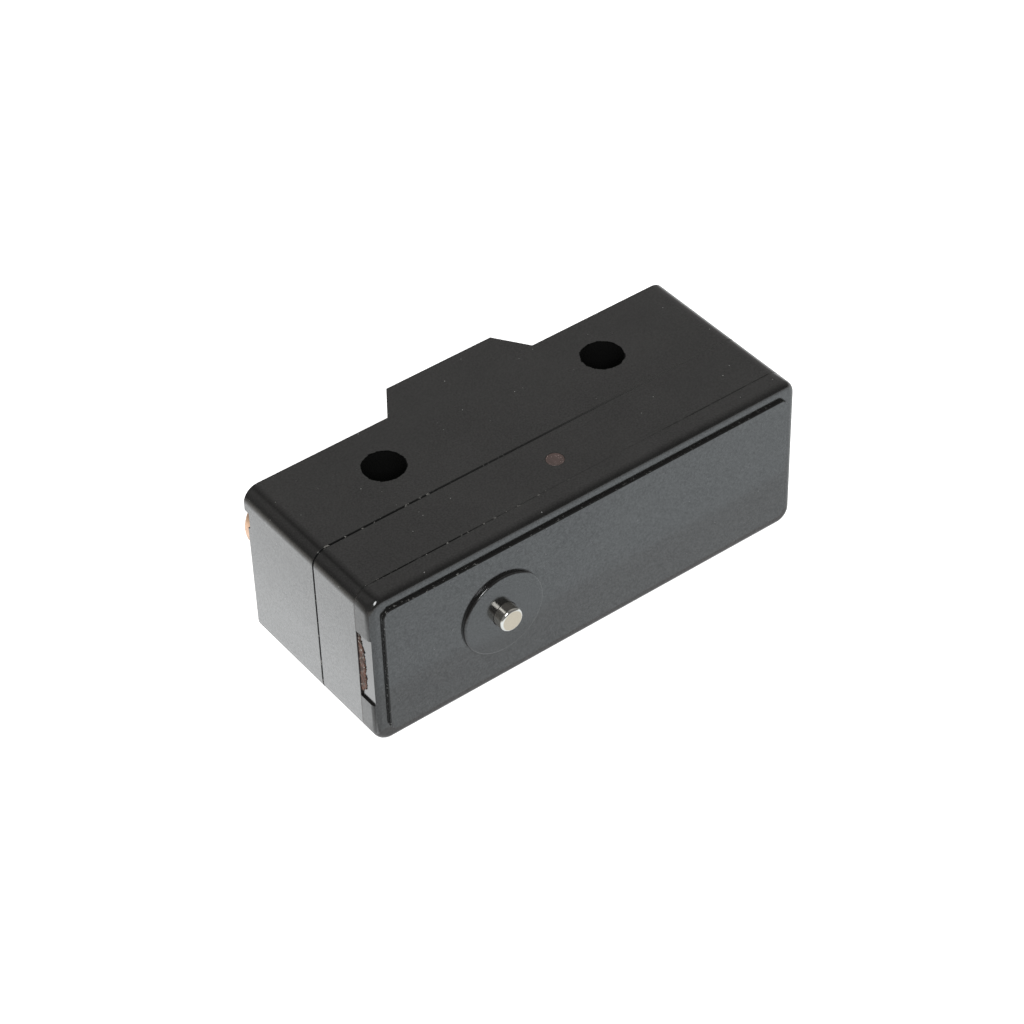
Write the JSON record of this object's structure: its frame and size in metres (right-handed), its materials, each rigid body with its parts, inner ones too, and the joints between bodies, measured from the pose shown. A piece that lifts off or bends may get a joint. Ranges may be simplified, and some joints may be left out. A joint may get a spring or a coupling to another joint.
{
  "type": "micro switch",
  "caption": "Basic snap-action micro switch in black moulded resin: pin plunger in a round boss, screw terminals, cross mounting holes, contacts inside.",
  "frame": {"origin": "midway between the two mounting holes' axes, on the broad face that the switch lies on", "axes": "+X along the body, from the common terminal's end to the normally open terminal's end; +Y from the plunger towards the terminals; +Z along the mounting holes"},
  "size_m": [0.0492, 0.0293, 0.0174],
  "materials": {
    "case_resin": "satin black moulded resin with a fine moulding texture",
    "cover_resin": "satin black moulded resin, smoother on the front panel",
    "brown_resin": "dark reddish-brown cast resin, rough where it broke off",
    "foot_resin": "dark moulded resin",
    "pin_steel": "drawn steel",
    "plunger_steel": "turned and polished, bright",
    "terminal_brass": "stamped and folded sheet",
    "screw_brass": "reddish brass, bright on the head's edge",
    "washer_brass": "stamped, satin",
    "spring_copper": "rolled copper-alloy spring sheet",
    "contact_silver": "silver contact rivet, satin"
  },
  "bodies": {
    "housing": {"base_case": "case_resin", "middle_case": "case_resin", "front_cover": "cover_resin", "seal_plug": "brown_resin", "end_seal": "brown_resin", "locating_pins": "pin_steel", "com_terminal": "terminal_brass", "nc_terminal": "terminal_brass", "no_terminal": "terminal_brass", "nc_contact": "contact_silver", "no_contact": "contact_silver", "spring_anchor": "terminal_brass", "anchor_rivet": "terminal_brass", "bow_spring": "spring_copper"},
    "plunger": {"pin_plunger": "plunger_steel", "plunger_foot": "foot_resin"},
    "snap_arm": {"contact_arm": "spring_copper", "moving_contact": "contact_silver"},
    "com_clamp_screw": {"com_screw": "screw_brass", "com_washer": "washer_brass"},
    "nc_clamp_screw": {"nc_screw": "screw_brass", "nc_washer": "washer_brass"},
    "no_clamp_screw": {"no_screw": "screw_brass", "no_washer": "washer_brass"}
  },
  "joints": [
    {"name": "plunger_slide", "type": "slide", "parent": "housing", "child": "plunger", "axis": [0, 1, 0], "range_m": [0, 0.00053], "stiffness_N_per_m": 2000, "springref_m": -0.001},
    {"name": "arm_hinge", "type": "hinge", "parent": "housing", "child": "snap_arm", "pos_m": [-0.02184, -0.00858, 0.00873], "axis": [0, 0, 1], "range_deg": [0, 2.7], "deforming": ["bow_spring"]},
    {"name": "com_clamp", "type": "slide", "parent": "housing", "child": "com_clamp_screw", "axis": [0, 1, 0], "range_m": [0, 0.002]},
    {"name": "nc_clamp", "type": "slide", "parent": "housing", "child": "nc_clamp_screw", "axis": [0, 1, 0], "range_m": [0, 0.002]},
    {"name": "no_clamp", "type": "slide", "parent": "housing", "child": "no_clamp_screw", "axis": [0, 1, 0], "range_m": [0, 0.002]}
  ],
  "couplings": [
    {"joint": "arm_hinge", "follows": "plunger_slide", "rad_per_m": 88.557}
  ]
}
